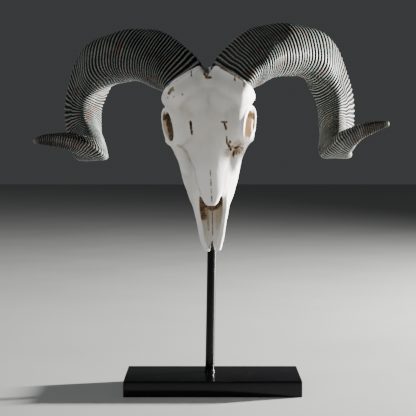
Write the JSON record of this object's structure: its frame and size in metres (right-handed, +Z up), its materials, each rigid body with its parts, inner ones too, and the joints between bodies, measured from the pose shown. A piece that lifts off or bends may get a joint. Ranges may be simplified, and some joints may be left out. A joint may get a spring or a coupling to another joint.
{
  "type": "ram skull",
  "caption": "Ram skull with two curling, ridged horns, held nose down on a round upright rod over a flat rectangular base.",
  "frame": {"origin": "middle of the underside of the base", "axes": "+X to the viewer's right, which is the animal's left; +Y away from the viewer; +Z up along the rod, from the base to the poll of the skull"},
  "size_m": [0.5308, 0.2148, 0.5586],
  "materials": {
    "bone": "chalky off-white with brown wash in the hollows",
    "horn_sheath": "satin dark grey with paler ridges and rust-brown tints",
    "black_lacquer": "glossy black lacquer",
    "black_rod": "glossy black paint"
  },
  "bodies": {
    "root": {"cranium": "bone", "maxilla_left": "bone", "maxilla_right": "bone", "nasal_bone_left": "bone", "nasal_bone_right": "bone", "premaxilla_left": "bone", "premaxilla_right": "bone", "horn_left": "horn_sheath", "horn_right": "horn_sheath", "stand_base": "black_lacquer", "stand_rod": "black_rod", "stand_collar": "black_rod"}
  },
  "joints": []
}
